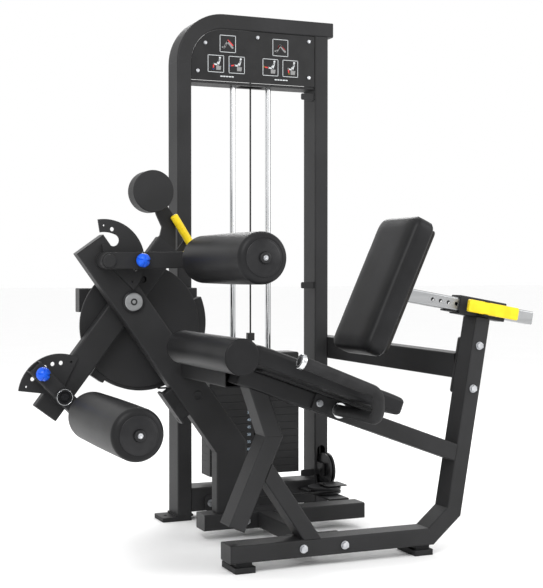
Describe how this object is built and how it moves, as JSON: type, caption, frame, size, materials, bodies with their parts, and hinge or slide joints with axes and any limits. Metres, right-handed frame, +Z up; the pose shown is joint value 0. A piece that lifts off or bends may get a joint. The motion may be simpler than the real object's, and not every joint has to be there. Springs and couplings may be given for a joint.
{
  "type": "leg extension machine",
  "caption": "Seated leg extension and leg curl machine with a pinned weight stack tower, cam and cable drive, swinging lever, roller pads, sliding backrest and grab handles.",
  "frame": {"origin": "centre of the footprint's bounding box, on the floor", "axes": "+Z up, +X from the leg rollers to the backrest, +Y from the user's seat to the weight tower"},
  "size_m": [1.4762, 1.1284, 1.7],
  "materials": {
    "frame_black": "matt black textured powder coat",
    "leatherette": "black leatherette upholstery over foam, soft sheen",
    "backing_board": "black stained plywood board",
    "chrome": "polished",
    "slide_steel": "bright satin steel",
    "steel_bolt": "zinc plated",
    "cast_plate": "black painted",
    "black_plastic": "moulded, fine grain",
    "blue_plastic": "satin moulded",
    "yellow_plastic": "satin moulded",
    "black_rubber": "matt",
    "placard_print": "printed plastic sheet, satin",
    "cable_jacket": "nylon jacket over steel rope, semi-gloss",
    "core_plastic": "moulded"
  },
  "bodies": {
    "frame": {"front_frame": "frame_black", "seat_tube": "frame_black", "seat_struts": "frame_black", "base_rails": "frame_black", "frame_plates": "frame_black", "cross_links": "frame_black", "mast": "frame_black", "pivot_axles": "chrome", "machine_feet": "black_rubber", "tower_bent_tube": "frame_black", "tower_right_column": "frame_black", "tower_bottom_beam": "frame_black", "placard": "placard_print", "tower_fixings": "frame_black", "guide_rods": "chrome", "rubber_stops": "black_rubber", "resting_plates": "cast_plate", "pulley_brackets": "frame_black", "cable_fixed_run": "cable_jacket", "cable_cam_run": "cable_jacket", "seat_cushion": "leatherette", "slide_sleeve": "frame_black", "handles": "black_rubber", "handle_chrome": "chrome", "frame_bolts": "steel_bolt", "tube_end_plugs": "black_plastic", "upper_sector_plate": "frame_black"},
    "cam": {"cam_disc": "frame_black", "cam_rim": "frame_black"},
    "lever": {"lever_tube": "frame_black", "lower_sector_plate": "frame_black", "lower_pivot": "steel_bolt", "counterweight": "frame_black"},
    "start_release": {"release_grip": "yellow_plastic"},
    "start_pin": {"start_pin": "steel_bolt"},
    "lower_bracket": {"lower_bracket": "frame_black", "lower_roller_axle": "steel_bolt"},
    "lower_knob": {"lower_pull_knob": "blue_plastic"},
    "lower_roller": {"lower_roller_pad": "leatherette", "lower_roller_hub": "core_plastic"},
    "thigh_arm": {"upper_arm": "frame_black", "upper_roller_axle": "steel_bolt"},
    "upper_knob": {"upper_pull_knob": "blue_plastic"},
    "upper_roller": {"upper_roller_pad": "leatherette", "upper_roller_hub": "core_plastic"},
    "backrest": {"backrest_pad": "leatherette", "backrest_board": "backing_board", "slide_tube": "slide_steel"},
    "lock_lever": {"lock_lever": "yellow_plastic"},
    "lock_pin": {"lock_pin": "steel_bolt"},
    "stack": {"lifted_plates": "cast_plate", "head_plate": "cast_plate", "cable_stack_run": "cable_jacket"},
    "selector_pin": {"selector_pin": "yellow_plastic"},
    "stack_pulley": {"stack_pulley": "black_plastic"},
    "column_top_pulley": {"column_top_pulley": "black_plastic"},
    "column_low_pulley": {"column_low_pulley": "black_plastic"},
    "turn_pulley": {"turn_pulley": "black_plastic"},
    "base_pulley": {"base_pulley": "black_plastic"},
    "guide_pulley": {"guide_pulley": "black_plastic"}
  },
  "joints": [
    {"name": "cam_turn", "type": "hinge", "parent": "frame", "child": "cam", "pos_m": [-0.4023, 0.28225, 0.742], "axis": [0, 1, 0], "range_deg": [0, 65], "deforming": ["cable_cam_run"]},
    {"name": "start_position", "type": "hinge", "parent": "cam", "child": "lever", "pos_m": [-0.4023, 0.23425, 0.742], "axis": [0, 1, 0], "range_deg": [-30, 0]},
    {"name": "start_release", "type": "hinge", "parent": "lever", "child": "start_release", "pos_m": [-0.2233, 0.22225, 0.886], "axis": [0, -1, 0], "range_deg": [0, 8], "stiffness_Nm_per_rad": 20, "springref_deg": -5.73},
    {"name": "start_pin_slide", "type": "slide", "parent": "lever", "child": "start_pin", "axis": [0, -1, 0], "range_m": [0, 0.012]},
    {"name": "lower_adjust", "type": "hinge", "parent": "lever", "child": "lower_bracket", "pos_m": [-0.6143, 0.17925, 0.463], "axis": [0, 1, 0], "range_deg": [-15, 45]},
    {"name": "lower_knob_pull", "type": "slide", "parent": "lower_bracket", "child": "lower_knob", "axis": [0, -1, 0], "range_m": [0, 0.012], "stiffness_N_per_m": 800, "springref_m": -0.01},
    {"name": "lower_roller_spin", "type": "hinge", "parent": "lower_bracket", "child": "lower_roller", "pos_m": [-0.5723, -0.22775, 0.422], "axis": [0, 1, 0], "continuous": true},
    {"name": "thigh_adjust", "type": "hinge", "parent": "frame", "child": "thigh_arm", "pos_m": [-0.4923, 0.11925, 0.865], "axis": [0, 1, 0], "range_deg": [-73, 15]},
    {"name": "upper_knob_pull", "type": "slide", "parent": "thigh_arm", "child": "upper_knob", "axis": [0, -1, 0], "range_m": [0, 0.012], "stiffness_N_per_m": 800, "springref_m": -0.01},
    {"name": "upper_roller_spin", "type": "hinge", "parent": "thigh_arm", "child": "upper_roller", "pos_m": [-0.2323, -0.22775, 0.869], "axis": [0, 1, 0], "continuous": true},
    {"name": "backrest_slide", "type": "slide", "parent": "frame", "child": "backrest", "axis": [0.9854, 0, -0.1702], "range_m": [-0.055, 0.0825]},
    {"name": "lock_release", "type": "hinge", "parent": "frame", "child": "lock_lever", "pos_m": [0.54452, -0.31175, 0.72375], "axis": [0.1702, 0, 0.9854], "range_deg": [0, 8], "stiffness_Nm_per_rad": 20, "springref_deg": -5.73},
    {"name": "lock_pin_slide", "type": "slide", "parent": "frame", "child": "lock_pin", "axis": [0, -1, 0], "range_m": [0, 0.01]},
    {"name": "stack_lift", "type": "slide", "parent": "frame", "child": "stack", "axis": [0, 0, 1], "range_m": [0, 0.4], "deforming": ["cable_stack_run"]},
    {"name": "selector_pull", "type": "slide", "parent": "stack", "child": "selector_pin", "axis": [0, -1, 0], "range_m": [0, 0.08]},
    {"name": "stack_pulley_turn", "type": "hinge", "parent": "frame", "child": "stack_pulley", "pos_m": [0.1763, 0.51525, 1.565], "axis": [0, 1, 0], "range_deg": [-375, 375]},
    {"name": "column_top_pulley_turn", "type": "hinge", "parent": "frame", "child": "column_top_pulley", "pos_m": [0.3217, 0.51525, 1.565], "axis": [0, 1, 0], "range_deg": [-375, 375]},
    {"name": "column_low_pulley_turn", "type": "hinge", "parent": "frame", "child": "column_low_pulley", "pos_m": [0.3727, 0.42825, 0.148], "axis": [1, 0, 0], "range_deg": [-375, 375]},
    {"name": "turn_pulley_turn", "type": "hinge", "parent": "frame", "child": "turn_pulley", "pos_m": [0.3217, 0.33325, 0.097], "axis": [0, 0, 1], "range_deg": [-375, 375]},
    {"name": "base_pulley_turn", "type": "hinge", "parent": "frame", "child": "base_pulley", "pos_m": [-0.0403, 0.28225, 0.148], "axis": [0, 1, 0], "range_deg": [-375, 375]},
    {"name": "guide_pulley_turn", "type": "hinge", "parent": "frame", "child": "guide_pulley", "pos_m": [-0.1423, 0.28225, 0.415], "axis": [0, 1, 0], "range_deg": [-375, 375]}
  ],
  "couplings": [
    {"joint": "stack_lift", "follows": "cam_turn", "m_per_rad": 0.293},
    {"joint": "start_pin_slide", "follows": "start_release", "m_per_rad": 0.0716},
    {"joint": "lock_pin_slide", "follows": "lock_release", "m_per_rad": 0.026},
    {"joint": "stack_pulley_turn", "follows": "cam_turn", "ratio": 5.7451},
    {"joint": "column_top_pulley_turn", "follows": "cam_turn", "ratio": 5.7451},
    {"joint": "column_low_pulley_turn", "follows": "cam_turn", "ratio": -5.7451},
    {"joint": "turn_pulley_turn", "follows": "cam_turn", "ratio": -5.7451},
    {"joint": "base_pulley_turn", "follows": "cam_turn", "ratio": 5.7451},
    {"joint": "guide_pulley_turn", "follows": "cam_turn", "ratio": -5.7451}
  ]
}
